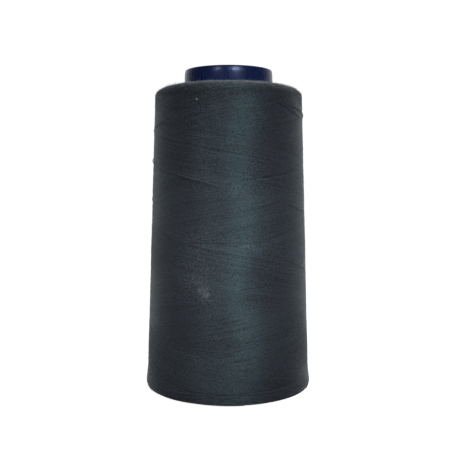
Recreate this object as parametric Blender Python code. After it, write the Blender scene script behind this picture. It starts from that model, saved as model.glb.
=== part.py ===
"""A large cone of sewing thread: a moulded plastic cone core, cross-wound with one long thread.

Frame: metres, +Z up along the cone's axis, origin at the centre of the circle the core stands on.
An azimuth of 0 faces -Y (the front) and grows towards +X.
"""

import math

import bmesh
import bpy
from mathutils import Vector

MM = 0.001

# Driving dimensions.
TOTAL_HEIGHT = 170.0 * MM
GAP = 0.3 * MM                  # between pieces that touch on the real object
SEGMENTS = 60                   # flats round every turned piece

# Package of thread.
PACKAGE_BASE_RADIUS = 43.8 * MM  # where the taper would meet the base
PACKAGE_TOP_RADIUS = 39.0 * MM
PACKAGE_BASE_Z = 1.5 * MM
PACKAGE_TOP_Z = 161.6 * MM
SHOULDER_WIDTH = 13.5 * MM      # the rounded shoulder runs in from the side almost to the collar
SHOULDER_DROP = 5.5 * MM
BASE_FLARE = 0.7 * MM           # the last wraps stand proud near the base
BASE_FLARE_Z = 13.0 * MM
PACKAGE_BASE_EDGE = 0.6 * MM    # rounding where the side turns under
PACKAGE_FOOT_RISE = 6.3 * MM    # the end face rises towards the core

# Moulded core.
WALL = 1.6 * MM
COLLAR_RADIUS = 23.4 * MM
COLLAR_FOOT_Z = 158.0 * MM
COLLAR_CROWN_HEIGHT = 3.0 * MM  # the top of the collar leans in a little
COLLAR_CROWN_ANGLE = 12.0       # degrees
COLLAR_EDGE = 0.8 * MM          # rounding round the top of the collar
CONE_TOP_RADIUS = 22.7 * MM
CONE_TOP_Z = COLLAR_FOOT_Z - 1.0 * MM
CONE_FOOT_Z = 8.0 * MM
CONE_HALF_ANGLE = math.radians(2.0)
NOSE_WEB = 1.8 * MM             # thickness of the flat ring that closes the nose
BUSH_BORE_RADIUS = 16.4 * MM
BUSH_FOOT_Z = 150.0 * MM
RIM_RADIUS = 30.6 * MM
RIM_HEIGHT = 2.4 * MM
RIM_EDGE = 0.6 * MM
RIM_BORE_RADIUS = 26.8 * MM
GROOVE_RADIUS = 27.2 * MM
GRIP_RINGS = 6
GRIP_RING_HEIGHT = 0.35 * MM
GRIP_RING_WIDTH = 1.6 * MM
NOSE_RIBS = 8
NOSE_RIB_THICKNESS = 1.4 * MM
SLIT_AZIMUTH = math.radians(150.0)
SLIT_WIDTH = 0.8 * MM
SLIT_DEPTH = 2.2 * MM

# Thread.
THREAD_DIAMETER = 0.5 * MM      # a stretch of thread with its fuzz
RESERVE_DEPTH = 1.5 * MM        # how thick the reserve turns lie in the groove
LAST_TURN_STEPS = 78
LAST_TURN_START = (math.radians(40.0), 150.8 * MM)      # azimuth and height
LAST_TURN_END = (math.radians(356.0), 108.8 * MM)
LAST_TURN_STEEPENING = 0.2      # share of the drop that comes late in the turn

NAVY_PLASTIC = ("navy_plastic", (0.012, 0.018, 0.085, 1.0), 0.28)
CHARCOAL_THREAD = ("charcoal_thread", (0.032, 0.042, 0.052, 1.0), 0.85)


def clear_scene():
    """Remove every object that the file opened with."""
    for obj in list(bpy.data.objects):
        bpy.data.objects.remove(obj)


def arc(centre, radii, start_deg, end_deg, steps):
    """Points (radius, height) along an elliptical arc. 0 degrees points outwards and 90 upwards."""
    points = []
    for i in range(steps + 1):
        angle = math.radians(start_deg + (end_deg - start_deg) * i / steps)
        points.append((centre[0] + radii[0] * math.cos(angle), centre[1] + radii[1] * math.sin(angle)))
    return points


def plain_material(name, colour, roughness):
    """A Principled material of one colour, made once."""
    material = bpy.data.materials.get(name)
    if material is None:
        material = bpy.data.materials.new(name)
        material.use_nodes = True
        shader = material.node_tree.nodes["Principled BSDF"]
        shader.inputs["Base Color"].default_value = colour
        shader.inputs["Roughness"].default_value = roughness
        shader.inputs["Metallic"].default_value = 0.0
    return material


def finished(name, mesh, material):
    """Link a mesh as a named, smooth-shaded object."""
    mesh.shade_smooth()
    mesh.set_sharp_from_angle(angle=math.radians(35.0))
    mesh.materials.append(plain_material(*material))
    obj = bpy.data.objects.new(name, mesh)
    bpy.context.scene.collection.objects.link(obj)
    return obj


def turned(name, outline, material):
    """Spin a closed outline of (radius, height) points round Z."""
    shape = bmesh.new()
    corners = [shape.verts.new((radius, 0.0, height)) for radius, height in outline]
    edges = [shape.edges.new((corners[i - 1], corners[i])) for i in range(len(corners))]
    bmesh.ops.spin(shape, geom=corners + edges, cent=(0, 0, 0), axis=(0, 0, 1),
                   angle=math.tau, steps=SEGMENTS, use_merge=True)
    bmesh.ops.remove_doubles(shape, verts=shape.verts, dist=1e-6)
    bmesh.ops.recalc_face_normals(shape, faces=shape.faces)
    mesh = bpy.data.meshes.new(name)
    shape.to_mesh(mesh)
    shape.free()
    return finished(name, mesh, material)


def block(name, size, location, azimuth):
    """A helper box, turned about Z, that a Boolean reads and the render leaves out."""
    shape = bmesh.new()
    bmesh.ops.create_cube(shape, size=1.0)
    bmesh.ops.scale(shape, vec=size, verts=shape.verts)
    mesh = bpy.data.meshes.new(name)
    shape.to_mesh(mesh)
    shape.free()
    obj = bpy.data.objects.new(name, mesh)
    obj.location = location
    obj.rotation_euler = (0.0, 0.0, azimuth)
    obj.hide_render = True
    obj.display_type = "WIRE"
    bpy.context.scene.collection.objects.link(obj)
    return obj


def boolean(obj, helper, operation):
    """Join a helper to an object, or cut it away."""
    modifier = obj.modifiers.new(helper.name, "BOOLEAN")
    modifier.operation = operation
    modifier.solver = "EXACT"
    modifier.object = helper


def on_circle(azimuth, radius, height):
    """A point at an azimuth from the front, -Y, towards +X."""
    return Vector((radius * math.sin(azimuth), -radius * math.cos(azimuth), height))


def cone_radius(height):
    """Outer radius of the core's tapered wall."""
    return CONE_TOP_RADIUS + (CONE_TOP_Z - height) * math.tan(CONE_HALF_ANGLE)


def package_radius(height):
    """Outer radius of the package at a height on its tapered side or its shoulder."""
    side_top = PACKAGE_TOP_Z - SHOULDER_DROP
    if height > side_top:
        rise = min((height - side_top) / SHOULDER_DROP, 1.0)
        return PACKAGE_TOP_RADIUS - SHOULDER_WIDTH * (1.0 - math.sqrt(1.0 - rise * rise))
    share = (side_top - height) / (side_top - PACKAGE_BASE_Z)
    return PACKAGE_TOP_RADIUS + (PACKAGE_BASE_RADIUS - PACKAGE_TOP_RADIUS) * share


def grip_ring_outline():
    """The low rings that keep the first layers from slipping, from the foot of the cone upwards."""
    points = []
    spacing = (CONE_TOP_Z - CONE_FOOT_Z) / (GRIP_RINGS + 1)
    for ring in range(1, GRIP_RINGS + 1):
        middle = CONE_FOOT_Z + spacing * ring
        half = GRIP_RING_WIDTH / 2
        points.append((cone_radius(middle - half), middle - half))
        points.append((cone_radius(middle) + GRIP_RING_HEIGHT, middle - half / 3))
        points.append((cone_radius(middle) + GRIP_RING_HEIGHT, middle + half / 3))
        points.append((cone_radius(middle + half), middle + half))
    return points


def collar_top():
    """The collar's upper edge: a shallow crown, then a small rounding."""
    lean = math.radians(COLLAR_CROWN_ANGLE)
    crown = COLLAR_CROWN_HEIGHT / math.sin(lean)
    crown_z = TOTAL_HEIGHT - COLLAR_EDGE * (1.0 - math.sin(lean)) - COLLAR_CROWN_HEIGHT
    edge_radius = COLLAR_RADIUS - (crown - COLLAR_EDGE) * (1.0 - math.cos(lean)) - COLLAR_EDGE
    edge_centre = (edge_radius, TOTAL_HEIGHT - COLLAR_EDGE)
    return [
        *arc((COLLAR_RADIUS - crown, crown_z), (crown, crown), 0, COLLAR_CROWN_ANGLE, 3),
        *arc(edge_centre, (COLLAR_EDGE, COLLAR_EDGE), COLLAR_CROWN_ANGLE, 90, 4)[1:],
    ]


def core_outline():
    """Section of the core: up the outside, over the nose, and down the inside."""
    groove_foot = RIM_HEIGHT + 0.8 * MM
    groove_top = CONE_FOOT_Z - 1.2 * MM
    bush_outer = BUSH_BORE_RADIUS + WALL
    web_underside = TOTAL_HEIGHT - NOSE_WEB
    outside = [
        (RIM_BORE_RADIUS, 0.0),
        (RIM_RADIUS - RIM_EDGE, 0.0),
        (RIM_RADIUS, RIM_EDGE),
        (RIM_RADIUS, RIM_HEIGHT - RIM_EDGE),
        (RIM_RADIUS - RIM_EDGE, RIM_HEIGHT),
        (GROOVE_RADIUS + 0.4 * MM, RIM_HEIGHT),
        (GROOVE_RADIUS, groove_foot),
        (GROOVE_RADIUS, groove_top),
        (cone_radius(CONE_FOOT_Z), CONE_FOOT_Z),
    ]
    nose = [
        (CONE_TOP_RADIUS, CONE_TOP_Z),
        (COLLAR_RADIUS, COLLAR_FOOT_Z),
        *collar_top(),
        (BUSH_BORE_RADIUS + 0.8 * MM, TOTAL_HEIGHT),
        (BUSH_BORE_RADIUS, TOTAL_HEIGHT - 0.8 * MM),
        (BUSH_BORE_RADIUS, BUSH_FOOT_Z),
        (bush_outer, BUSH_FOOT_Z),
        (bush_outer, web_underside),
    ]
    inside = [
        (COLLAR_RADIUS - WALL, web_underside),
        (COLLAR_RADIUS - WALL, COLLAR_FOOT_Z),
        (CONE_TOP_RADIUS - WALL, CONE_TOP_Z),
        (cone_radius(CONE_FOOT_Z) - WALL, CONE_FOOT_Z),
    ]
    return outside + grip_ring_outline() + nose + inside


def make_core():
    """The moulded core: cone, collar, nose bush with its ribs, and base rim with a slit for the thread."""
    core = turned("cone_core", core_outline(), NAVY_PLASTIC)
    rib_inner = BUSH_BORE_RADIUS + WALL / 2
    rib_outer = CONE_TOP_RADIUS - WALL / 2
    rib_foot = BUSH_FOOT_Z + 3.0 * MM
    rib_top = TOTAL_HEIGHT - NOSE_WEB / 2
    for i in range(NOSE_RIBS):
        azimuth = math.tau * i / NOSE_RIBS
        place = on_circle(azimuth, (rib_inner + rib_outer) / 2, (rib_foot + rib_top) / 2)
        size = (NOSE_RIB_THICKNESS, rib_outer - rib_inner, rib_top - rib_foot)
        boolean(core, block(f"nose_rib_{i + 1}", size, place, azimuth), "UNION")
    slit_height = RIM_HEIGHT + 2.0 * MM
    slit_place = on_circle(SLIT_AZIMUTH, RIM_RADIUS, RIM_HEIGHT / 2)
    slit = block("catch_slit", (SLIT_WIDTH, SLIT_DEPTH * 2, slit_height), slit_place, SLIT_AZIMUTH)
    boolean(core, slit, "DIFFERENCE")
    return core


def make_winding():
    """The package of thread: tapered side, rounded shoulder, and a hollow that clears the core."""
    clear = GRIP_RING_HEIGHT + GAP
    side_top = PACKAGE_TOP_Z - SHOULDER_DROP
    edge = PACKAGE_BASE_EDGE
    foot_inner = cone_radius(CONE_FOOT_Z) + clear
    foot_outer = PACKAGE_BASE_RADIUS + BASE_FLARE - edge
    outline = [
        *arc((foot_outer, PACKAGE_BASE_Z + edge), (edge, edge), -90, 0, 4),
        (package_radius(BASE_FLARE_Z / 2) + BASE_FLARE / 2, BASE_FLARE_Z / 2),
        (package_radius(BASE_FLARE_Z), BASE_FLARE_Z),
        *arc((PACKAGE_TOP_RADIUS - SHOULDER_WIDTH, side_top), (SHOULDER_WIDTH, SHOULDER_DROP), 0, 90, 10),
        (COLLAR_RADIUS + GAP, PACKAGE_TOP_Z),
        (COLLAR_RADIUS + GAP, COLLAR_FOOT_Z - GAP),
        (CONE_TOP_RADIUS + clear, CONE_TOP_Z - GAP),
        (foot_inner, CONE_FOOT_Z),
        (foot_inner + (foot_outer - foot_inner) / 3, PACKAGE_BASE_Z + PACKAGE_FOOT_RISE / 3),
    ]
    return turned("thread_winding", outline, CHARCOAL_THREAD)


def make_reserve_tail():
    """The reserve turns: the thread's first end, wound in the groove above the base rim."""
    inner = GROOVE_RADIUS + GAP
    foot = RIM_HEIGHT + 1.0 * MM
    top = CONE_FOOT_Z - 1.4 * MM
    middle = (foot + top) / 2
    outline = [(inner, foot), *arc((inner + 0.4 * MM, middle), (RESERVE_DEPTH - 0.4 * MM, (top - foot) / 2),
                                   -90, 90, 6), (inner, top)]
    return turned("reserve_tail", outline, CHARCOAL_THREAD)


def make_last_turn():
    """The thread's outer end: the last turn lies on the package and is tucked in at the front."""
    curve = bpy.data.curves.new("last_turn", "CURVE")
    curve.dimensions = "3D"
    curve.bevel_depth = THREAD_DIAMETER / 2
    curve.bevel_resolution = 2
    curve.use_fill_caps = True
    spline = curve.splines.new("POLY")
    spline.points.add(LAST_TURN_STEPS)
    (start_azimuth, start_height), (end_azimuth, end_height) = LAST_TURN_START, LAST_TURN_END
    for i, point in enumerate(spline.points):
        share = i / LAST_TURN_STEPS
        azimuth = start_azimuth + (end_azimuth - start_azimuth) * share
        drop = (1.0 - LAST_TURN_STEEPENING) * share + LAST_TURN_STEEPENING * share ** 3
        height = start_height + (end_height - start_height) * drop
        radius = package_radius(height) + GAP + THREAD_DIAMETER / 2
        point.co = (*on_circle(azimuth, radius, height), 1.0)
    curve.materials.append(plain_material(*CHARCOAL_THREAD))
    obj = bpy.data.objects.new("last_turn", curve)
    bpy.context.scene.collection.objects.link(obj)
    return obj


def main():
    clear_scene()
    make_core()
    make_winding()
    make_reserve_tail()
    make_last_turn()


main()
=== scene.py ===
"""The looks of a cone of sewing thread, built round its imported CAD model.

The package is wound from one continuous thread, which crosses itself as it runs up and down the
core. Metres, +Z up. An azimuth of 0 faces the front, -Y, and grows towards +X.
"""

import math

import bmesh
import bpy
import numpy as np
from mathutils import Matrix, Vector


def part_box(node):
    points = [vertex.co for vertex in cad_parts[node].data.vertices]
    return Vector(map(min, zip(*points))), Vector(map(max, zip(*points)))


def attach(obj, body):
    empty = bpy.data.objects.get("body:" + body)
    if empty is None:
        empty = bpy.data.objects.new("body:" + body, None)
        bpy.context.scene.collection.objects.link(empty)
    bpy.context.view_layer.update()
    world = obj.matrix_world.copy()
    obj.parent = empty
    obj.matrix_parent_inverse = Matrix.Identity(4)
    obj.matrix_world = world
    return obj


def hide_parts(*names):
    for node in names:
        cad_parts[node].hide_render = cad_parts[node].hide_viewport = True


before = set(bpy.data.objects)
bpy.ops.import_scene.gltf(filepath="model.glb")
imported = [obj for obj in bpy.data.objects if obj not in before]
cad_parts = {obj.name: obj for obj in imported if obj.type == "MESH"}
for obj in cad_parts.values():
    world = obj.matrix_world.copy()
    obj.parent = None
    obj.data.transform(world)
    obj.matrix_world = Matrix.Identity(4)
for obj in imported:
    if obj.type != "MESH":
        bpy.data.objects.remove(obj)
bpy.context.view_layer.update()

MM = 0.001
RANDOM = np.random.default_rng(11)

# Outer shape of the package, from its CAD box and the same driving sizes as the CAD.
PACKAGE_LOW, PACKAGE_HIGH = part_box("thread_winding")
CORE_LOW, CORE_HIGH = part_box("cone_core")
BASE_FLARE = 0.7 * MM           # the last wraps stand proud near the base
BASE_FLARE_Z = 13.0 * MM
PACKAGE_BASE_RADIUS = PACKAGE_HIGH[0] - BASE_FLARE
SIDE_TAPER = 4.8 * MM           # how much narrower the thread is below its shoulder than at its base
PACKAGE_TOP_RADIUS = PACKAGE_BASE_RADIUS - SIDE_TAPER
PACKAGE_BASE_Z = PACKAGE_LOW[2]
PACKAGE_TOP_Z = PACKAGE_HIGH[2]
SHOULDER_WIDTH = 13.5 * MM
SHOULDER_DROP = 5.5 * MM
PACKAGE_BASE_EDGE = 0.6 * MM
PACKAGE_FOOT_RISE = 6.3 * MM
PACKAGE_FOOT_RADIUS = 28.6 * MM

# The core.
TOTAL_HEIGHT = CORE_HIGH[2]
RIM_RADIUS = CORE_HIGH[0]
WALL = 1.6 * MM
COLLAR_RADIUS = 23.4 * MM
COLLAR_FOOT_Z = 158.0 * MM
COLLAR_CROWN_HEIGHT = 3.0 * MM  # the top of the collar leans in a little
COLLAR_CROWN_ANGLE = 12.0       # degrees
COLLAR_EDGE = 0.8 * MM
CONE_TOP_RADIUS = 22.7 * MM
CONE_TOP_Z = COLLAR_FOOT_Z - 1.0 * MM
CONE_FOOT_Z = 8.0 * MM
CONE_HALF_ANGLE = math.radians(2.0)
NOSE_WEB = 1.8 * MM
BUSH_BORE_RADIUS = 16.4 * MM
BUSH_FOOT_Z = 150.0 * MM
RIM_HEIGHT = 2.4 * MM
RIM_EDGE = 0.6 * MM
RIM_BORE_RADIUS = 26.8 * MM
GROOVE_RADIUS = 27.2 * MM
NOSE_RIBS = 8
NOSE_RIB_THICKNESS = 1.4 * MM
NOSE_RIB_FOOT_Z = BUSH_FOOT_Z + 3.0 * MM
SLIT_AZIMUTH = math.radians(150.0)
SLIT_WIDTH = 0.8 * MM
SLIT_DEPTH = 2.2 * MM
FINE_EDGE = 0.3 * MM            # rounding of the thin edges
FILLET = 0.8 * MM               # rounding of the inner corners and the nose bore's mouth
HELPER_EDGE = 0.12 * MM         # rounding of the ribs and of the slit
CORE_SHARP_ANGLE = math.radians(38.0)
CORE_SEGMENTS = 192

# How the thread is wound.
THREAD_RADIUS = 0.130 * MM
DOUBLE_STROKES = 222            # up and down again; enough to cover the package once each way
STROKES_PER_PIECE = 37
HELIX_SLOPE = math.tan(math.radians(11.0))
STEP = 3.2 * MM                 # between a stroke's points, along the thread
TURN_ROUNDING = 1.6 * MM        # how roundly the thread turns back at each end
TURN_EASE = 0.6                 # how much of that rounding the path takes
TOP_TURN_SPREAD = 16.0 * MM     # turns lie anywhere in this much of the skin's upper end
TOP_TURN_CROWDING = 1.3         # a higher power crowds the turns towards the end
BASE_TURN_SPREAD = 5.0 * MM
BASE_TURN_CROWDING = 2
TURN_TRIES = 12                 # how many ends are tried to find an open place for the next stroke
SETTLE_SHARE = 0.22             # a stroke drifts into its place over this share of the skin
WANDER = 0.16 * MM              # strokes stray sideways by up to this much
WEAVE = 0.10 * MM               # how far the upper strokes lie over the lower ones
UNEVENNESS = 0.03 * MM
BUILD_UP = 0.16 * MM            # how much higher the last stroke lies than the first
STRAND_SINK = 0.25 * MM         # the first strokes' centres lie this far under the skin
BODY_SEGMENTS = 240
BODY_SHADE = 0.3
BODY_GAP = 0.5 * MM             # between the package's body and the core
BODY_FOOT_GAP = 0.4 * MM
BODY_BASE_INSET = 2.2 * MM
COLLAR_GAP = 0.15 * MM
NOISE_REACH = 200.0 * MM        # more than the whole length of the skin
PACKAGE_DEPTH = 0.42 * MM       # how far under the outer skin the inner surface lies
STRAND_SIDES = 5
LOOSE_STRAND_SIDES = 6
TWIST_LENGTH = 1.1 * MM
FAMILY_BAND = 56.0 * MM         # rising and falling strokes take turns to lie on top up the package
FAMILY_PHASE = math.radians(200.0)

# Where the last turn runs: azimuth and height, as in the CAD.
LAST_TURN_START = (math.radians(40.0), 150.8 * MM)
LAST_TURN_END = (math.radians(356.0), 108.8 * MM)
LAST_TURN_STEEPENING = 0.2      # share of the drop that comes late in the turn
LAST_TURN_STEPS = 1500
LAST_TURN_ENDS = 0.02           # share of its length over which each end is tucked in
LAST_TURN_LIFT = 0.38 * MM
LAST_TURN_SINK = 0.25 * MM      # how far its tucked ends lie under the skin
LAST_TURN_SLACK = 0.10 * MM
LAST_PLY_OFFSET = 0.10 * MM
LAST_PLY_RADIUS = 0.125 * MM
# High shades lighten the plies' colour as a painted highlight, so that the proud strand stands out.
LAST_PLY_HIGHLIGHT_SHADES = (1.5, 1.8, 1.6)

# The end face under the package.
FOOT_TURN_PITCH = 0.33 * MM
FOOT_TURN_LIFT = 0.20 * MM
FOOT_TURN_WANDER = 0.20 * MM
FOOT_TURN_BUMPS = 0.12 * MM
FOOT_TURN_RADIUS = THREAD_RADIUS * 1.1
STEPS_PER_TURN = 110

# The turns in the groove above the rim.
RESERVE_TURNS = 8
RESERVE_LAYERS = 2
RESERVE_FIRST_LAYER = 0.24 * MM
RESERVE_LAYER_GAP = 0.36 * MM

# Loose fibres.
FIBRE_SIDES = 3
SIDE_FUZZ = 5000
SHOULDER_FUZZ = 2200
FUZZ_RADIUS = 0.016 * MM
FRINGE_FIBRES = 5600
FRINGE_RADIUS = 0.020 * MM
FRINGE_LENGTH = (0.25 * MM, 0.75 * MM)
FRINGE_INSET = 9.2 * MM         # the fringe lies mostly this far down the skin from its upper end
FRINGE_SPREAD = 2.3 * MM
LINT_RADIUS = 0.022 * MM

# Lint: name, azimuth in degrees, height, spread round and up the cone, number of fibres and their lengths.
LINT = (
    ("lint_patch", -17.5, 56.5 * MM, (1.7 * MM, 2.0 * MM), 130, (0.5 * MM, 2.0 * MM)),
    ("lint_haze", -24.0, 64.0 * MM, (5.0 * MM, 8.0 * MM), 240, (0.4 * MM, 1.6 * MM)),
    ("lint_speck", -23.7, 151.3 * MM, (0.22 * MM, 0.22 * MM), 30, (0.3 * MM, 0.7 * MM)),
)

# Stretches that lie proud at the front: first azimuth (degrees) and height (mm), last ones, lift (mm) and
# shade, where a low shade darkens a strand's colour as painted shadow of the gap it lies in, and a high one
# lightens it as a painted highlight.
PROUD_STRETCHES = (
    (8.0, 112.0, 64.0, 118.0, 0.20, -0.8), (14.0, 111.4, 48.0, 114.6, 0.10, 1.4),
    (-41.0, 27.3, -18.0, 25.0, 0.12, 1.3), (8.0, 58.8, 34.0, 60.8, 0.14, -0.8),
    (-54.0, 4.8, 54.0, 10.2, 0.14, -0.8), (-46.0, 6.4, 58.0, 8.4, 0.10, 1.2),
    (-30.0, 8.2, 40.0, 6.6, 0.08, -0.6), (43.0, 72.0, 76.0, 65.0, 0.12, -0.8),
    (48.0, 99.4, 78.0, 95.0, 0.14, -0.8), (-28.0, 81.4, 26.0, 81.8, 0.05, -0.4),
    (-38.0, 113.4, -6.0, 108.0, 0.10, -1.0), (36.0, 150.6, 70.0, 143.5, 0.14, -0.8),
)
PROUD_RADIUS = THREAD_RADIUS * 1.25
PROUD_ENDS = 0.12
PROUD_SINK = 0.20 * MM
PROUD_SLACK = 0.03 * MM
BACK_STRANDS = 26               # proud stretches at places drawn at random, round the back
BACK_STRAND_SHADE = 0.9

# Colours, each from its dark end to its light one.
THREAD_COLOURS = ((0.0084, 0.0076, 0.0096), (0.0310, 0.0280, 0.0350))
INNER_THREAD_COLOURS = ((0.010, 0.0095, 0.012), (0.022, 0.021, 0.026))
FIBRE_COLOURS = ((0.030, 0.038, 0.044), (0.055, 0.065, 0.072))
LINT_COLOURS = ((0.20, 0.21, 0.23), (0.34, 0.35, 0.37))
# The collar fringe's pale colours are a painted sheen on fibres of the dark thread.
FRINGE_SHEEN_COLOURS = ((0.42, 0.43, 0.50), (0.60, 0.62, 0.70))
NAVY_COLOURS = ((0.0064, 0.0122, 0.053), (0.0090, 0.0160, 0.066))
THREAD_SHEEN_TINT = (0.75, 0.88, 1.0, 1.0)
THREAD_GLOSS_TINT = (0.48, 0.87, 1.0, 1.0)
NAVY_GLOSS_TINT = (0.56, 0.66, 1.0, 1.0)
WHITE = (1.0, 1.0, 1.0, 1.0)

# The camera.
CAMERA_PLACE = (-1.25 * MM, -392.0 * MM, 113.4 * MM)
CAMERA_PITCH = math.radians(3.821)
CAMERA_ROLL = math.radians(-0.12)
CAMERA_LENS = 57.84
CAMERA_SENSOR = 36.0

# The light: name, azimuth and elevation in degrees, distance, size, power, aimed height and colour.
LAMPS = (
    ("lamp_right", 17.5, 23.0, 1.2, (0.22, 0.15), 0.122, 72.0 * MM, (0.95, 0.99, 1.0)),
    ("lamp_left", -28.5, 23.0, 1.2, (0.18, 0.15), 0.042, 62.0 * MM, (1.0, 0.98, 0.96)),
    ("soft_right", 27.0, 23.0, 1.2, (0.36, 0.20), 0.048, 76.0 * MM, (0.95, 0.99, 1.0)),
)
LAMP_SPREAD = math.radians(10.8)  # the lamps have grids, so that they light the middle most
ROOM_DIM = 0.03
ROOM_BRIGHT = 1.02
ROOM_AXIS = (0.05, 0.999, 0.0)  # towards the brightest part of the room, behind the cone
ROOM_FADE = (0.14, 0.82)        # the room brightens between these cosines from that axis
BACKDROP_STRENGTH = 1.05
FLOOR_HALF = 3.0                # metres
FLOOR_GLOW = 0.85


# ---------------------------------------------------------------- materials

def new_material(name):
    """A node material and its Principled shader."""
    material = bpy.data.materials.new(name)
    material.use_nodes = True
    return material, material.node_tree, material.node_tree.nodes["Principled BSDF"]


def node(tree, kind, **values):
    """Add a node. Values named after an input set it, and others set the node's own property."""
    made = tree.nodes.new(kind)
    for name, value in values.items():
        socket = made.inputs.get(name.replace("_", " ").title())
        if socket is not None:
            socket.default_value = value
        else:
            setattr(made, name, value)
    return made


def noise(tree, scale, detail=3.0, roughness=0.55, stretch=(1.0, 1.0, 1.0)):
    """Noise on object coordinates, in features per metre, stretched along the axes."""
    place = tree.nodes.new("ShaderNodeTexCoord")
    mapping = tree.nodes.new("ShaderNodeMapping")
    mapping.inputs["Scale"].default_value = stretch
    texture = node(tree, "ShaderNodeTexNoise", scale=scale, detail=detail, roughness=roughness)
    tree.links.new(place.outputs["Object"], mapping.inputs["Vector"])
    tree.links.new(mapping.outputs["Vector"], texture.inputs["Vector"])
    return texture.outputs["Fac"]


def ramp(tree, factor, low, high, dark, light):
    """Map a factor between two stops onto two colours, or greys given as numbers."""
    made = tree.nodes.new("ShaderNodeValToRGB")
    for element, position, colour in zip(made.color_ramp.elements, (low, high), (dark, light)):
        element.position = position
        element.color = (*colour, 1.0) if isinstance(colour, tuple) else (colour, colour, colour, 1.0)
    tree.links.new(factor, made.inputs["Fac"])
    return made.outputs["Color"]


def maths(tree, operation, first, second):
    """A math node whose inputs are sockets or numbers."""
    made = node(tree, "ShaderNodeMath", operation=operation)
    for i, value in enumerate((first, second)):
        if isinstance(value, (int, float)):
            made.inputs[i].default_value = value
        else:
            tree.links.new(value, made.inputs[i])
    return made.outputs[0]


def attribute(tree, name):
    """The value that a mesh holds under a name."""
    made = node(tree, "ShaderNodeAttribute", attribute_name=name)
    return made.outputs["Fac"]


def bump(tree, shader, height, strength, distance):
    """Drive a shader's normal from a height."""
    made = node(tree, "ShaderNodeBump", strength=strength, distance=distance)
    tree.links.new(height, made.inputs["Height"])
    tree.links.new(made.outputs["Normal"], shader.inputs["Normal"])


def thread_material(name, shadow, lit, twist_strength=0.5):
    """Spun polyester thread: twisted plies, a soft sheen, and a shade that drifts along its length."""
    material, tree, shader = new_material(name)
    shade = attribute(tree, "shade")
    drift = noise(tree, 1500.0, detail=3.0, roughness=0.65)
    mixed = maths(tree, "ADD", maths(tree, "MULTIPLY", shade, 0.18), maths(tree, "MULTIPLY", drift, 0.82))
    tree.links.new(ramp(tree, mixed, 0.34, 0.64, shadow, lit), shader.inputs["Base Color"])
    tree.links.new(ramp(tree, mixed, 0.34, 0.64, 0.22, 0.94), shader.inputs["Specular IOR Level"])
    tree.links.new(ramp(tree, noise(tree, 2600.0), 0.3, 0.7, 0.38, 0.58), shader.inputs["Roughness"])
    shader.inputs["Specular Tint"].default_value = THREAD_GLOSS_TINT
    shader.inputs["Sheen Weight"].default_value = 0.10
    shader.inputs["Sheen Roughness"].default_value = 0.45
    shader.inputs["Sheen Tint"].default_value = THREAD_SHEEN_TINT
    fibres = maths(tree, "MULTIPLY", noise(tree, 9000.0, detail=2.0), 0.5)
    bump(tree, shader, maths(tree, "ADD", attribute(tree, "twist"), fibres), twist_strength, 0.06 * MM)
    return material


def plastic_material():
    """Moulded polypropylene, dyed navy: glossy, faintly wavy, with scuffs where it rubs."""
    material, tree, shader = new_material("navy_polypropylene")
    flow = noise(tree, 60.0, detail=3.0, stretch=(1.0, 1.0, 0.25))
    tree.links.new(ramp(tree, flow, 0.3, 0.7, *NAVY_COLOURS), shader.inputs["Base Color"])
    scuffs = noise(tree, 900.0, detail=5.0, roughness=0.7, stretch=(1.0, 1.0, 0.12))
    tree.links.new(ramp(tree, scuffs, 0.42, 0.72, 0.26, 0.36), shader.inputs["Roughness"])
    shader.inputs["Specular IOR Level"].default_value = 0.29
    shader.inputs["Specular Tint"].default_value = NAVY_GLOSS_TINT
    bump(tree, shader, noise(tree, 420.0, detail=2.0), 0.12, 0.12 * MM)
    return material


def lint_and_sheen_material(name, dark, light):
    """Pale matte fibres: cotton lint picked up from the room, and the collar fringe's pale painted sheen."""
    material, tree, shader = new_material(name)
    tree.links.new(ramp(tree, noise(tree, 700.0), 0.3, 0.7, dark, light), shader.inputs["Base Color"])
    shader.inputs["Roughness"].default_value = 0.9
    return material


def floor_material():
    """Plain white studio paper, which glows so that the shadow on it stays faint."""
    material, tree, shader = new_material("white_paper")
    tree.links.new(ramp(tree, noise(tree, 30.0), 0.3, 0.7, 0.90, 0.92), shader.inputs["Base Color"])
    shader.inputs["Roughness"].default_value = 0.9
    shader.inputs["Specular IOR Level"].default_value = 0.1
    shader.inputs["Emission Color"].default_value = WHITE
    shader.inputs["Emission Strength"].default_value = FLOOR_GLOW
    return material


# ---------------------------------------------------------------- meshes

def arc(centre, radii, start_deg, end_deg, steps):
    """Points (radius, height) along an elliptical arc. 0 degrees points outwards and 90 upwards."""
    angles = np.radians(np.linspace(start_deg, end_deg, steps + 1))
    return [(centre[0] + radii[0] * math.cos(a), centre[1] + radii[1] * math.sin(a)) for a in angles]


def smooth(share):
    """Ease a share from 0 to 1 in and out."""
    return share * share * (3.0 - 2.0 * share)


def on_circle(azimuth, radius, height):
    """A point, or points, at an azimuth from the front, -Y, towards +X."""
    return np.stack([radius * np.sin(azimuth), -radius * np.cos(azimuth), height], axis=-1)


def added(name, data):
    """A new object in the scene."""
    made = bpy.data.objects.new(name, data)
    bpy.context.scene.collection.objects.link(made)
    return made


def finish_piece(name, mesh, material, node_name):
    """Add a mesh as a smooth piece that rides on the object, with its material, and hide the CAD node that it
    stands in for.
    """
    mesh.shade_smooth()
    mesh.materials.clear()
    mesh.materials.append(material)
    piece = added(name, mesh)
    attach(piece, "root")
    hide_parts(node_name)


def store(mesh, label, values):
    """Keep a value for each of a mesh's points, under a name that the materials read."""
    layer = mesh.attributes.new(label, "FLOAT", "POINT")
    layer.data.foreach_set("value", values.astype(np.float32))


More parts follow.
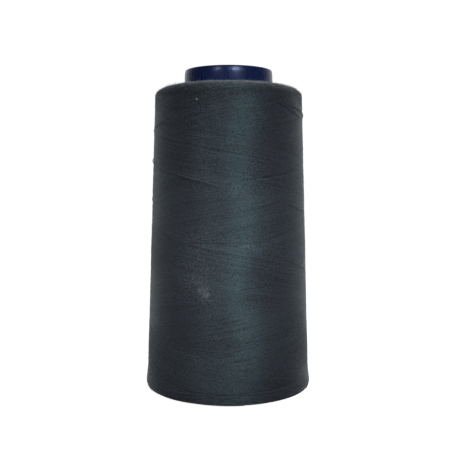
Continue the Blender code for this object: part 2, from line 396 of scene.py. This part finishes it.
def turned_mesh(name, outline, segments):
    """Spin a closed outline of (radius, height) points round Z into a closed mesh."""
    points = np.array(outline)
    count = len(points)
    azimuths = np.linspace(0.0, math.tau, segments, endpoint=False)
    rings = np.empty((segments, count, 3))
    rings[:, :, 0] = np.sin(azimuths)[:, None] * points[None, :, 0]
    rings[:, :, 1] = -np.cos(azimuths)[:, None] * points[None, :, 0]
    rings[:, :, 2] = points[None, :, 1]
    i = np.arange(segments)[:, None]
    j = np.arange(count)[None, :]
    here, beside = i * count, (i + 1) % segments * count
    above = (j + 1) % count
    faces = np.stack([here + j, beside + j, beside + above, here + above], axis=-1)
    return quad_mesh(name, rings.reshape(-1, 3), faces.reshape(-1, 4))


def quad_mesh(name, points, quads, caps=()):
    """A mesh of quads, and of end caps with any number of corners."""
    mesh = bpy.data.meshes.new(name)
    sizes = [4] * len(quads) + [len(cap) for cap in caps]
    corners = np.concatenate([np.asarray(quads, dtype=np.int32).ravel(), *[np.asarray(cap) for cap in caps]])
    mesh.vertices.add(len(points))
    mesh.vertices.foreach_set("co", np.asarray(points, dtype=np.float32).ravel())
    mesh.loops.add(len(corners))
    mesh.loops.foreach_set("vertex_index", corners.astype(np.int32))
    mesh.polygons.add(len(sizes))
    mesh.polygons.foreach_set("loop_start", np.concatenate([[0], np.cumsum(sizes)[:-1]]).astype(np.int32))
    mesh.update(calc_edges=True)
    mesh.validate()
    return mesh


def tube_parts(path, radius, sides):
    """Corners, quads and caps of a tube along a path, and each corner's angle round it."""
    path = np.asarray(path)
    along = np.gradient(path, axis=0)
    along /= np.linalg.norm(along, axis=1)[:, None]
    outward = path * (1.0, 1.0, 0.0)
    outward /= np.maximum(np.linalg.norm(outward, axis=1)[:, None], 1e-9)
    across = np.cross(along, outward)
    across /= np.linalg.norm(across, axis=1)[:, None]
    outward = np.cross(across, along)
    angles = np.linspace(0.0, math.tau, sides, endpoint=False)
    ring = np.cos(angles)[None, :, None] * outward[:, None] + np.sin(angles)[None, :, None] * across[:, None]
    points = path[:, None] + ring * np.broadcast_to(radius, len(path))[:, None, None]
    i = np.arange(len(path) - 1)[:, None] * sides
    j = np.arange(sides)[None, :]
    beside = (j + 1) % sides
    quads = np.stack([i + j, i + beside, i + sides + beside, i + sides + j], axis=-1)
    last = (len(path) - 1) * sides
    caps = [np.arange(sides)[::-1], last + np.arange(sides)]
    return points.reshape(-1, 3), quads.reshape(-1, 4), caps, np.tile(angles, len(path))


def tubes_mesh(name, paths, radius, sides, shades=None):
    """One mesh of closed tubes. Each corner holds its strand's shade and the height of its twist."""
    points, quads, caps, shade, twist = [], [], [], [], []
    start = 0
    for k, path in enumerate(paths):
        corners, faces, ends, angles = tube_parts(path, radius, sides)
        steps = np.linalg.norm(np.diff(path, axis=0), axis=1)
        travelled = np.repeat(np.concatenate([[0.0], np.cumsum(steps)]), sides)
        points.append(corners)
        quads.append(faces + start)
        caps += [end + start for end in ends]
        value = RANDOM.random() if shades is None else shades[k]
        shade.append(np.broadcast_to(value, len(path)).repeat(sides))
        twist.append(0.5 + 0.5 * np.sin(math.tau * travelled / TWIST_LENGTH + angles))
        start += len(corners)
    mesh = quad_mesh(name, np.concatenate(points), np.concatenate(quads), caps)
    store(mesh, "shade", np.concatenate(shade))
    store(mesh, "twist", np.concatenate(twist))
    return mesh


# ---------------------------------------------------------------- the core

def cone_radius(height):
    """Outer radius of the core's tapered wall."""
    return CONE_TOP_RADIUS + (CONE_TOP_Z - height) * math.tan(CONE_HALF_ANGLE)


def collar_top():
    """The collar's upper edge: a shallow crown, then a small rounding."""
    lean = math.radians(COLLAR_CROWN_ANGLE)
    crown = COLLAR_CROWN_HEIGHT / math.sin(lean)
    crown_z = TOTAL_HEIGHT - COLLAR_EDGE * (1.0 - math.sin(lean)) - COLLAR_CROWN_HEIGHT
    edge_radius = COLLAR_RADIUS - (crown - COLLAR_EDGE) * (1.0 - math.cos(lean)) - COLLAR_EDGE
    edge_centre = (edge_radius, TOTAL_HEIGHT - COLLAR_EDGE)
    return [
        *arc((COLLAR_RADIUS - crown, crown_z), (crown, crown), 0, COLLAR_CROWN_ANGLE, 10),
        *arc(edge_centre, (COLLAR_EDGE, COLLAR_EDGE), COLLAR_CROWN_ANGLE, 90, 12)[1:],
    ]


def core_outline():
    """Section of the core: up the outside, over the nose, and down the inside."""
    web_underside = TOTAL_HEIGHT - NOSE_WEB
    bush_outer = BUSH_BORE_RADIUS + WALL
    edge, lip, fine = RIM_EDGE, FILLET, FINE_EDGE
    foot = [
        *arc((RIM_BORE_RADIUS + fine, fine), (fine, fine), 180, 270, 4),
        *arc((RIM_RADIUS - edge, edge), (edge, edge), -90, 0, 6),
        *arc((RIM_RADIUS - edge, RIM_HEIGHT - edge), (edge, edge), 0, 90, 6),
        *arc((GROOVE_RADIUS + lip, RIM_HEIGHT + lip), (lip, lip), 270, 180, 5),
        (GROOVE_RADIUS, CONE_FOOT_Z - 1.2 * MM),
        (cone_radius(CONE_FOOT_Z), CONE_FOOT_Z),
    ]
    collar = [
        (CONE_TOP_RADIUS, CONE_TOP_Z),
        *arc((COLLAR_RADIUS - fine, COLLAR_FOOT_Z + fine), (fine, fine), -60, 0, 3),
        *collar_top(),
        *arc((BUSH_BORE_RADIUS + lip, TOTAL_HEIGHT - lip), (lip, lip), 90, 180, 6),
        *arc((BUSH_BORE_RADIUS + fine, BUSH_FOOT_Z + fine), (fine, fine), 180, 270, 4),
        *arc((bush_outer - fine, BUSH_FOOT_Z + fine), (fine, fine), -90, 0, 4),
        *arc((bush_outer + lip, web_underside - lip), (lip, lip), 180, 90, 5),
    ]
    inside = [
        *arc((COLLAR_RADIUS - WALL - lip, web_underside - lip), (lip, lip), 90, 0, 5),
        (COLLAR_RADIUS - WALL, COLLAR_FOOT_Z),
        (CONE_TOP_RADIUS - WALL, CONE_TOP_Z),
        (cone_radius(CONE_FOOT_Z) - WALL, CONE_FOOT_Z),
    ]
    return foot + collar + inside


def helper_block(size, place, azimuth):
    """A box for a Boolean, turned about Z, with softened edges."""
    shape = bmesh.new()
    bmesh.ops.create_cube(shape, size=1.0)
    bmesh.ops.scale(shape, vec=size, verts=shape.verts)
    bmesh.ops.bevel(shape, geom=shape.edges[:], offset=HELPER_EDGE, segments=2, profile=0.5, affect="EDGES")
    mesh = bpy.data.meshes.new("helper")
    shape.to_mesh(mesh)
    shape.free()
    block = added("helper", mesh)
    block.location = place
    block.rotation_euler = (0.0, 0.0, azimuth)
    return block


def make_core(material):
    """The moulded core, with its ribs joined on and its catch slit cut."""
    piece = added("core_blank", turned_mesh("core_shell", core_outline(), CORE_SEGMENTS))
    inner, outer = BUSH_BORE_RADIUS + WALL / 2, CONE_TOP_RADIUS - WALL / 2
    foot, top = NOSE_RIB_FOOT_Z, TOTAL_HEIGHT - NOSE_WEB / 2
    rib_size = (NOSE_RIB_THICKNESS, outer - inner, top - foot)
    jobs = []
    for i in range(NOSE_RIBS):
        azimuth = math.tau * i / NOSE_RIBS
        place = on_circle(azimuth, (inner + outer) / 2, (foot + top) / 2)
        jobs.append(("UNION", helper_block(rib_size, place, azimuth)))
    past_rim = 1.0 * MM
    slit_size = (SLIT_WIDTH, SLIT_DEPTH * 2, RIM_HEIGHT + 2 * past_rim)
    slit_place = on_circle(SLIT_AZIMUTH, RIM_RADIUS, RIM_HEIGHT / 2)
    jobs.append(("DIFFERENCE", helper_block(slit_size, slit_place, SLIT_AZIMUTH)))
    for operation, block in jobs:
        modifier = piece.modifiers.new("join", "BOOLEAN")
        modifier.operation = operation
        modifier.solver = "EXACT"
        modifier.object = block
    evaluated = piece.evaluated_get(bpy.context.evaluated_depsgraph_get())
    mesh = bpy.data.meshes.new_from_object(evaluated)
    bpy.data.objects.remove(piece)
    for _, block in jobs:
        bpy.data.objects.remove(block)
    finish_piece("core_shell", mesh, material, "cone_core")
    mesh.set_sharp_from_angle(angle=CORE_SHARP_ANGLE)


# ---------------------------------------------------------------- the package

class Skin:
    """The package's outer surface, measured along it from the base edge up over the shoulder."""

    def __init__(self):
        side_top = PACKAGE_TOP_Z - SHOULDER_DROP
        edge = PACKAGE_BASE_EDGE
        low = arc((PACKAGE_BASE_RADIUS - edge, PACKAGE_BASE_Z + edge), (edge, edge), -90, 0, 20)
        heights = np.linspace(low[-1][1], side_top, 200)[1:-1]
        share = (side_top - heights) / (side_top - PACKAGE_BASE_Z)
        radii = PACKAGE_TOP_RADIUS + (PACKAGE_BASE_RADIUS - PACKAGE_TOP_RADIUS) * share
        shoulder_centre = (PACKAGE_TOP_RADIUS - SHOULDER_WIDTH, side_top)
        shoulder = arc(shoulder_centre, (SHOULDER_WIDTH, SHOULDER_DROP), 0, 88, 80)
        points = np.array(low + list(zip(radii, heights)) + shoulder)
        near_base = np.clip(1.0 - (points[:, 1] - PACKAGE_BASE_Z) / BASE_FLARE_Z, 0.0, 1.0)
        lift = np.clip(points[:, 1] / (PACKAGE_BASE_Z + edge) - 1.0, 0.0, 1.0)
        points[:, 0] += BASE_FLARE * smooth(near_base) * lift
        steps = np.linalg.norm(np.diff(points, axis=0), axis=1)
        self.points = points
        self.travel = np.concatenate([[0.0], np.cumsum(steps)])
        self.length = self.travel[-1]
        self.side_length = np.interp(side_top, points[:, 1], self.travel)
        tangent = np.gradient(points, self.travel, axis=0)
        tangent /= np.linalg.norm(tangent, axis=1)[:, None]
        self.normal = np.stack([tangent[:, 1], -tangent[:, 0]], axis=1)
        turn_rate = 1.0 / (points[:, 0] * HELIX_SLOPE)
        middle = (turn_rate[1:] + turn_rate[:-1]) / 2 * steps
        self.winding = np.concatenate([[0.0], np.cumsum(middle)])

    def place(self, travel, azimuth, lift):
        """Points on the skin at distances up it and azimuths, raised along the normal."""
        radius = np.interp(travel, self.travel, self.points[:, 0])
        height = np.interp(travel, self.travel, self.points[:, 1])
        out = np.interp(travel, self.travel, self.normal[:, 0])
        up = np.interp(travel, self.travel, self.normal[:, 1])
        return on_circle(azimuth, radius + out * lift, height + up * lift)

    def outward(self, travel, azimuth):
        """The direction straight out of the skin."""
        return self.place(travel, azimuth, 1.0) - self.place(travel, azimuth, 0.0)

    def travel_at(self, height):
        """How far up the skin a height is."""
        return np.interp(height, self.points[:, 1], self.travel)

    def angle_at(self, travel):
        """How far round a stroke has turned by the time it is this far up."""
        return np.interp(travel, self.travel, self.winding)


def soft_noise(azimuth, travel, seed, cells_round, cell_length):
    """Smooth noise on the skin, from -1 to 1, that joins up round it."""
    generator = np.random.default_rng(seed)
    rows = int(NOISE_REACH / cell_length) + 3
    grid = generator.uniform(-1.0, 1.0, (rows, cells_round))
    u = np.mod(azimuth / math.tau, 1.0) * cells_round
    v = np.clip(travel / cell_length, 0.0, rows - 2.001)
    i, j = np.floor(v).astype(int), np.floor(u).astype(int) % cells_round
    a, b = v - np.floor(v), u - np.floor(u)
    a, b = smooth(a), smooth(b)
    beside = (j + 1) % cells_round
    lower = grid[i, j] * (1 - b) + grid[i, beside] * b
    upper = grid[i + 1, j] * (1 - b) + grid[i + 1, beside] * b
    return lower * (1 - a) + upper * a


def take_slot(free, natural):
    """The unused place nearest to an azimuth. It is taken, and returned near that azimuth."""
    slots = np.flatnonzero(free)
    angles = slots * (math.tau / len(free))
    off = np.mod(angles - natural + math.pi, math.tau) - math.pi
    best = int(np.argmin(np.abs(off)))
    return slots[best], off[best]


def wound_strokes(skin):
    """Plan the strokes: for each, its direction, start azimuth, ends, and its drift into its own place."""
    free = {1: np.ones(DOUBLE_STROKES, bool), -1: np.ones(DOUBLE_STROKES, bool)}
    strokes = []
    offset, drift, start = 0.0, 0.0, skin.travel[0]
    free[1][0] = False
    for k in range(2 * DOUBLE_STROKES):
        direction = 1 if k % 2 == 0 else -1
        best = None
        for _ in range(TURN_TRIES):
            if direction == 1:
                end = skin.length - TOP_TURN_SPREAD * RANDOM.random() ** TOP_TURN_CROWDING
            else:
                end = BASE_TURN_SPREAD * RANDOM.random() ** BASE_TURN_CROWDING
            natural = offset + direction * 2.0 * skin.angle_at(end)
            if not free[-direction].any():
                best = (None, 0.0, end, natural)
                break
            slot, off = take_slot(free[-direction], natural)
            if best is None or abs(off) < abs(best[1]):
                best = (slot, off, end, natural)
        slot, off, end, natural = best
        strokes.append((direction, offset, drift, start, end))
        if slot is not None:
            free[-direction][slot] = False
        offset, drift, start = natural + off, off, end
    return strokes


def upper_family(azimuth, travel):
    """Which strokes lie on top: 1 where it is the rising ones, and -1 where it is the falling ones."""
    bands = np.sin(math.tau * travel / FAMILY_BAND + azimuth + FAMILY_PHASE)
    ragged = soft_noise(azimuth, travel, 5, 14, 17.0 * MM)
    return np.clip(1.3 * bands + 0.8 * ragged, -1.0, 1.0)


def stroke_path(skin, stroke, order):
    """Points along one stroke of the thread, from where it turned back to where it turns next."""
    direction, offset, drift, start, end = stroke
    length = abs(end - start)
    count = max(int(length / (STEP * HELIX_SLOPE / math.hypot(1.0, HELIX_SLOPE))), 8)
    share = (np.arange(count) + 0.5) / count
    straight = share * length
    # Near each end the path leaves the turning point as a rounded corner does.
    near, far = straight, length - straight
    corner = np.exp(-far / TURN_ROUNDING) - np.exp(-near / TURN_ROUNDING)
    eased = straight - TURN_ROUNDING * corner * TURN_EASE
    travel = start + direction * eased
    settle = smooth(np.clip(near / (SETTLE_SHARE * skin.length), 0.0, 1.0))
    turned = offset - drift * (1.0 - settle) + direction * skin.angle_at(start + direction * straight)
    wander = soft_noise(turned, travel, 100 + order, 5, 31.0 * MM) * WANDER / PACKAGE_TOP_RADIUS
    azimuth = turned + wander
    weave = direction * upper_family(azimuth, travel) * WEAVE
    rise = soft_noise(azimuth, travel, 400 + order, 9, 23.0 * MM) * UNEVENNESS
    layer = BUILD_UP * (order / (2 * DOUBLE_STROKES)) ** 2
    lift = weave + rise + layer - STRAND_SINK
    return skin.place(travel, azimuth, lift), azimuth, travel


def make_package_strands(skin, material):
    """The wound thread, in pieces of a few dozen strokes each."""
    strokes = wound_strokes(skin)
    total = len(strokes)
    for first in range(0, total, STROKES_PER_PIECE):
        chosen = range(first, min(first + STROKES_PER_PIECE, total))
        runs = [stroke_path(skin, strokes[k], k) for k in chosen]
        path = np.concatenate([run[0] for run in runs])
        azimuth = np.concatenate([run[1] for run in runs])
        travel = np.concatenate([run[2] for run in runs])
        shade = 0.5 + 0.5 * soft_noise(azimuth, travel, 900 + first, 4, 40.0 * MM)
        shade = 0.6 * shade + 0.4 * np.repeat(RANDOM.random(len(runs)), [len(run[0]) for run in runs])
        name = f"wound_thread_{first // STROKES_PER_PIECE + 1}"
        mesh = tubes_mesh(name, [path], THREAD_RADIUS, STRAND_SIDES, shades=[shade])
        finish_piece(name, mesh, material, "thread_winding")


def make_package_body(skin, material):
    """The thread under the outer wraps: a closed body just inside the skin, clear of the core."""
    outer = (skin.points - skin.normal * PACKAGE_DEPTH)[::2]
    outline = [
        (PACKAGE_BASE_RADIUS - BODY_BASE_INSET, PACKAGE_BASE_Z + PACKAGE_DEPTH),
        *outer[2:],
        (COLLAR_RADIUS + COLLAR_GAP, PACKAGE_TOP_Z - PACKAGE_DEPTH),
        (COLLAR_RADIUS + COLLAR_GAP, COLLAR_FOOT_Z),
        (CONE_TOP_RADIUS + BODY_GAP, CONE_TOP_Z - BODY_GAP),
        (cone_radius(CONE_FOOT_Z) + BODY_GAP, CONE_FOOT_Z + BODY_FOOT_GAP),
    ]
    mesh = turned_mesh("package_body", outline, BODY_SEGMENTS)
    for label in ("shade", "twist"):
        store(mesh, label, np.full(len(mesh.vertices), BODY_SHADE))
    finish_piece("package_body", mesh, material, "thread_winding")


def foot_height(radius):
    """Height of the package's end face, which rises from its outer edge to the core."""
    outer = PACKAGE_BASE_RADIUS - PACKAGE_BASE_EDGE
    share = np.clip((outer - radius) / (outer - PACKAGE_FOOT_RADIUS), 0.0, 1.0)
    return PACKAGE_BASE_Z + PACKAGE_FOOT_RISE * (0.5 * share + 0.5 * share ** 2)


def make_foot_turns(material):
    """The end face under the package, where the turning thread lies in close rings."""
    inner, outer = PACKAGE_FOOT_RADIUS + 0.1 * MM, PACKAGE_BASE_RADIUS - 0.9 * MM
    turns = (outer - inner) / FOOT_TURN_PITCH
    share = np.linspace(0.0, 1.0, int(turns * STEPS_PER_TURN))
    azimuth = share * turns * math.tau
    radius = inner + (outer - inner) * share
    radius = radius + soft_noise(azimuth, radius, 51, 7, 3.0 * MM) * FOOT_TURN_WANDER
    lift = soft_noise(azimuth, radius * 3.0, 52, 17, 1.1 * MM) * FOOT_TURN_BUMPS
    path = on_circle(azimuth, radius, foot_height(radius) + FOOT_TURN_LIFT + lift)
    shade = 0.5 + 0.5 * soft_noise(azimuth, radius, 53, 9, 1.5 * MM)
    mesh = tubes_mesh("foot_turns", [path], FOOT_TURN_RADIUS, STRAND_SIDES, shades=[shade])
    finish_piece("foot_turns", mesh, material, "thread_winding")


def plied_paths(path, offset, twist_length, plies):
    """Paths of the plies that twist round a centre path."""
    along = np.gradient(path, axis=0)
    along /= np.linalg.norm(along, axis=1)[:, None]
    outward = path * (1.0, 1.0, 0.0)
    outward /= np.linalg.norm(outward, axis=1)[:, None]
    across = np.cross(along, outward)
    steps = np.linalg.norm(np.diff(path, axis=0), axis=1)
    phase = math.tau * np.concatenate([[0.0], np.cumsum(steps)]) / twist_length
    made = []
    for i in range(plies):
        angle = (phase + math.tau * i / plies)[:, None]
        made.append(path + offset * (np.cos(angle) * outward + np.sin(angle) * across))
    return made


def tucked(share, ends, lift, sink):
    """Lift of a strand that lies proud along its middle and sinks into the skin over both its ends."""
    tuck = np.clip(np.minimum(share, 1.0 - share) / ends, 0.0, 1.0)
    return lift * tuck - sink * (1.0 - tuck)


def make_last_turn(skin, material):
    """The thread's outer end: a plied strand that lies on the package and is tucked in at the front."""
    share = np.linspace(0.0, 1.0, LAST_TURN_STEPS)
    (start_azimuth, start_height), (end_azimuth, end_height) = LAST_TURN_START, LAST_TURN_END
    azimuth = start_azimuth + (end_azimuth - start_azimuth) * share
    drop = (1.0 - LAST_TURN_STEEPENING) * share + LAST_TURN_STEEPENING * share ** 3
    height = start_height + (end_height - start_height) * drop
    travel = skin.travel_at(height)
    lift = tucked(share, LAST_TURN_ENDS, LAST_TURN_LIFT, LAST_TURN_SINK)
    slack = LAST_TURN_SLACK * soft_noise(azimuth, travel, 61, 11, 9.0 * MM)
    centre = skin.place(travel, azimuth, lift + slack)
    plies = plied_paths(centre, LAST_PLY_OFFSET, TWIST_LENGTH, len(LAST_PLY_HIGHLIGHT_SHADES))
    # The plies' high shades are a painted highlight.
    mesh = tubes_mesh("last_turn_strand", plies, LAST_PLY_RADIUS, LOOSE_STRAND_SIDES, shades=LAST_PLY_HIGHLIGHT_SHADES)
    finish_piece("last_turn_strand", mesh, material, "last_turn")


def make_proud_strands(skin, material):
    """Stretches of thread that lie a little proud of the rest, each sinking back in at both ends."""
    stretches = list(PROUD_STRETCHES)
    for _ in range(BACK_STRANDS):
        azimuth, height = RANDOM.uniform(90.0, 270.0), RANDOM.uniform(12.0, 150.0)
        sweep, slope = RANDOM.uniform(15.0, 60.0), RANDOM.choice([-1.0, 1.0]) * HELIX_SLOPE
        rise = math.radians(sweep) * PACKAGE_TOP_RADIUS / MM * slope
        lift = RANDOM.uniform(0.03, 0.12)
        stretches.append((azimuth, height, azimuth + sweep, height + rise, lift, BACK_STRAND_SHADE))
    paths, shades = [], []
    for first_azimuth, first_height, last_azimuth, last_height, lift, shade in stretches:
        share = np.linspace(0.0, 1.0, int(abs(last_azimuth - first_azimuth) * 2.5) + 8)
        azimuth = np.radians(first_azimuth + (last_azimuth - first_azimuth) * share)
        height = (first_height + (last_height - first_height) * share) * MM
        travel = skin.travel_at(height)
        raised = tucked(share, PROUD_ENDS, lift * MM, PROUD_SINK)
        slack = PROUD_SLACK * soft_noise(azimuth, travel, 66, 23, 9.0 * MM)
        paths.append(skin.place(travel, azimuth, raised + slack))
        # The front stretches' shades are painted shadow where low and painted highlight where high.
        shades.append(shade)
    mesh = tubes_mesh("proud_strands", paths, PROUD_RADIUS, LOOSE_STRAND_SIDES, shades=shades)
    finish_piece("proud_strands", mesh, material, "thread_winding")


def make_reserve_turns(material):
    """The first end of the thread: turns in the groove above the rim, and its tail in the catch slit."""
    foot, top = RIM_HEIGHT + 0.55 * MM, CONE_FOOT_Z - 1.5 * MM
    paths = []
    for layer in range(RESERVE_LAYERS):
        share = np.linspace(0.0, 1.0, RESERVE_TURNS * STEPS_PER_TURN)
        azimuth = SLIT_AZIMUTH + share * RESERVE_TURNS * math.tau
        height = foot + (top - foot) * (share if layer == 0 else 1.0 - share)
        height = height + 0.05 * MM * soft_noise(azimuth, height * 20, 71 + layer, 9, 8.0 * MM)
        radius = np.full_like(azimuth, GROOVE_RADIUS + RESERVE_FIRST_LAYER + RESERVE_LAYER_GAP * layer)
        paths.append(on_circle(azimuth, radius, height))
    # The tail leaves the groove, crosses the rim and drops down the slit: azimuth from it, radius and height.
    route = [
        (0.0, GROOVE_RADIUS + 0.55 * MM, foot + 0.3 * MM),
        (-0.04, RIM_RADIUS - 1.6 * MM, RIM_HEIGHT + 0.25 * MM),
        (-0.004, RIM_RADIUS - 1.3 * MM, RIM_HEIGHT - 0.4 * MM),
        (0.0, RIM_RADIUS - 1.3 * MM, 0.7 * MM),
        (0.004, RIM_RADIUS - 1.4 * MM, 0.35 * MM),
    ]
    knots = np.array([on_circle(SLIT_AZIMUTH + a, r, z) for a, r, z in route])
    at = np.linspace(0.0, len(knots) - 1.0, 40)
    paths.append(np.stack([np.interp(at, np.arange(len(knots)), knots[:, i]) for i in range(3)], axis=-1))
    mesh = tubes_mesh("reserve_turns", paths, THREAD_RADIUS, LOOSE_STRAND_SIDES)
    finish_piece("reserve_turns", mesh, material, "reserve_tail")


# ---------------------------------------------------------------- loose fibres

def hair(start, direction, length, bend, steps=4):
    """A short curved fibre from a point."""
    share = np.linspace(0.0, 1.0, steps)[:, None]
    return start + direction * length * share + bend * length * share ** 2


def round_way(azimuth):
    """The level direction round the cone at an azimuth."""
    return np.array([math.cos(azimuth), math.sin(azimuth), 0.0])


def make_fuzz(skin, material, name, count, low, high, length, stand):
    """Fine fibres that stand out of the thread between two distances up the skin."""
    paths = []
    for _ in range(count):
        travel = RANDOM.uniform(low, high)
        azimuth = RANDOM.uniform(0.0, math.tau)
        start = skin.place(travel, azimuth, -0.1 * MM)
        along = round_way(azimuth) * RANDOM.choice([-1.0, 1.0])
        outward = skin.outward(travel, azimuth)
        direction = outward * RANDOM.uniform(0.3, 1.0) * stand + along * RANDOM.uniform(0.4, 1.0)
        direction = direction + RANDOM.normal(0.0, 0.25, 3)
        direction /= np.linalg.norm(direction)
        bend = RANDOM.normal(0.0, 0.35, 3)
        paths.append(hair(start, direction, RANDOM.uniform(*length), bend))
    mesh = tubes_mesh(name, paths, FUZZ_RADIUS, FIBRE_SIDES)
    finish_piece(name, mesh, material, "thread_winding")


def make_collar_fringe(skin, material):
    """Broken fibres that stand up on the shoulder, in a band round the collar, coloured pale as a painted
    sheen.
    """
    paths = []
    for _ in range(FRINGE_FIBRES):
        azimuth = RANDOM.uniform(0.0, math.tau)
        travel = skin.length - abs(RANDOM.normal(FRINGE_INSET, FRINGE_SPREAD))
        start = skin.place(travel, azimuth, -0.05 * MM)
        outward, along = skin.outward(travel, azimuth), round_way(azimuth)
        direction = outward * RANDOM.uniform(0.4, 1.0) + along * RANDOM.normal(0.0, 0.7)
        direction /= np.linalg.norm(direction)
        bend = along * RANDOM.normal(0.0, 0.4)
        paths.append(hair(start, direction, RANDOM.uniform(*FRINGE_LENGTH), bend))
    mesh = tubes_mesh("collar_fringe", paths, FRINGE_RADIUS, FIBRE_SIDES)
    finish_piece("collar_fringe", mesh, material, "thread_winding")


def make_lint(skin, material, name, azimuth_deg, height, spread, count, length):
    """A few pale fibres caught on the package."""
    paths = []
    for _ in range(count):
        azimuth = math.radians(azimuth_deg) + RANDOM.normal(0.0, spread[0]) / PACKAGE_TOP_RADIUS
        travel = skin.travel_at(height + RANDOM.normal(0.0, spread[1]))
        start = skin.place(travel, azimuth, 0.10 * MM)
        angle = RANDOM.normal(0.0, 0.5)
        direction = round_way(azimuth) * math.cos(angle) + np.array([0.0, 0.0, math.sin(angle)])
        bend = np.array([0.0, 0.0, RANDOM.normal(0.0, 0.3)])
        paths.append(hair(start, direction, RANDOM.uniform(*length), bend, steps=6))
    mesh = tubes_mesh(name, paths, LINT_RADIUS, FIBRE_SIDES)
    finish_piece(name, mesh, material, "thread_winding")


# ---------------------------------------------------------------- the studio

def make_camera():
    """The camera: a little above the middle of the cone, looking slightly down."""
    data = bpy.data.cameras.new("camera")
    data.lens = CAMERA_LENS
    data.sensor_width = CAMERA_SENSOR
    data.clip_start = 0.01
    camera = added("camera", data)
    camera.location = CAMERA_PLACE
    camera.rotation_euler = (math.pi / 2 - CAMERA_PITCH, CAMERA_ROLL, 0.0)
    bpy.context.scene.camera = camera


def area_light(name, azimuth_deg, elevation_deg, distance, size, power, aim, colour):
    """A soft rectangular light that faces the cone's axis at a height."""
    data = bpy.data.lights.new(name, "AREA")
    data.shape = "RECTANGLE"
    data.size, data.size_y = size
    data.energy = power
    data.color = colour
    data.spread = LAMP_SPREAD
    light = added(name, data)
    azimuth, elevation = math.radians(azimuth_deg), math.radians(elevation_deg)
    height = aim + distance * math.sin(elevation)
    light.location = on_circle(azimuth, distance * math.cos(elevation), height)
    light.rotation_euler = (math.pi / 2 - elevation, 0.0, azimuth)


def make_world():
    """A dim room in front and overhead that is bright behind the cone. The camera sees plain white."""
    world = bpy.data.worlds.new("studio")
    world.use_nodes = True
    tree = world.node_tree
    tree.nodes.clear()
    place = tree.nodes.new("ShaderNodeTexCoord")
    facing = node(tree, "ShaderNodeVectorMath", operation="DOT_PRODUCT")
    facing.inputs[1].default_value = ROOM_AXIS
    tree.links.new(place.outputs["Generated"], facing.inputs[0])
    room = ramp(tree, facing.outputs["Value"], *ROOM_FADE, ROOM_DIM, ROOM_BRIGHT)
    surroundings = tree.nodes.new("ShaderNodeBackground")
    tree.links.new(room, surroundings.inputs["Color"])
    white = node(tree, "ShaderNodeBackground", color=WHITE, strength=BACKDROP_STRENGTH)
    rays = tree.nodes.new("ShaderNodeLightPath")
    mix = tree.nodes.new("ShaderNodeMixShader")
    output = tree.nodes.new("ShaderNodeOutputWorld")
    tree.links.new(rays.outputs["Is Camera Ray"], mix.inputs[0])
    tree.links.new(surroundings.outputs[0], mix.inputs[1])
    tree.links.new(white.outputs[0], mix.inputs[2])
    tree.links.new(mix.outputs[0], output.inputs["Surface"])
    bpy.context.scene.world = world


def make_floor():
    """A wide sheet of white paper under the cone, which neither lights the cone nor shows in its gloss."""
    half = FLOOR_HALF
    points = [(-half, -half, 0.0), (half, -half, 0.0), (half, half, 0.0), (-half, half, 0.0)]
    mesh = quad_mesh("floor", points, [(0, 1, 2, 3)])
    mesh.materials.append(floor_material())
    floor = added("floor", mesh)
    floor.visible_diffuse = False
    floor.visible_glossy = False


def make_lights():
    """Two lamps and a broad soft light in front, and the room."""
    for lamp in LAMPS:
        area_light(*lamp)
    make_world()


def main():
    """Build everything."""
    make_camera()
    skin = Skin()
    wound = thread_material("charcoal_thread", *THREAD_COLOURS)
    fuzz = thread_material("charcoal_fibres", *FIBRE_COLOURS, twist_strength=0.0)
    inner = thread_material("charcoal_inner_thread", *INNER_THREAD_COLOURS)
    lint = lint_and_sheen_material("pale_lint", *LINT_COLOURS)
    # Pale colours for the collar fringe, as painted sheen.
    fringe_sheen = lint_and_sheen_material("pale_painted_sheen", *FRINGE_SHEEN_COLOURS)
    make_core(plastic_material())
    make_package_body(skin, inner)
    make_package_strands(skin, wound)
    make_foot_turns(wound)
    make_last_turn(skin, wound)
    make_proud_strands(skin, wound)
    make_reserve_turns(wound)
    low, middle, high = 0.5 * MM, skin.side_length, skin.length
    make_fuzz(skin, fuzz, "side_fuzz", SIDE_FUZZ, low, middle, (0.5 * MM, 1.4 * MM), 0.6)
    make_fuzz(skin, fuzz, "shoulder_fuzz", SHOULDER_FUZZ, middle, high, (0.6 * MM, 1.8 * MM), 0.9)
    make_collar_fringe(skin, fringe_sheen)
    for lint_piece in LINT:
        make_lint(skin, lint, *lint_piece)
    make_floor()
    make_lights()
    bpy.context.scene.view_settings.view_transform = "Standard"


main()
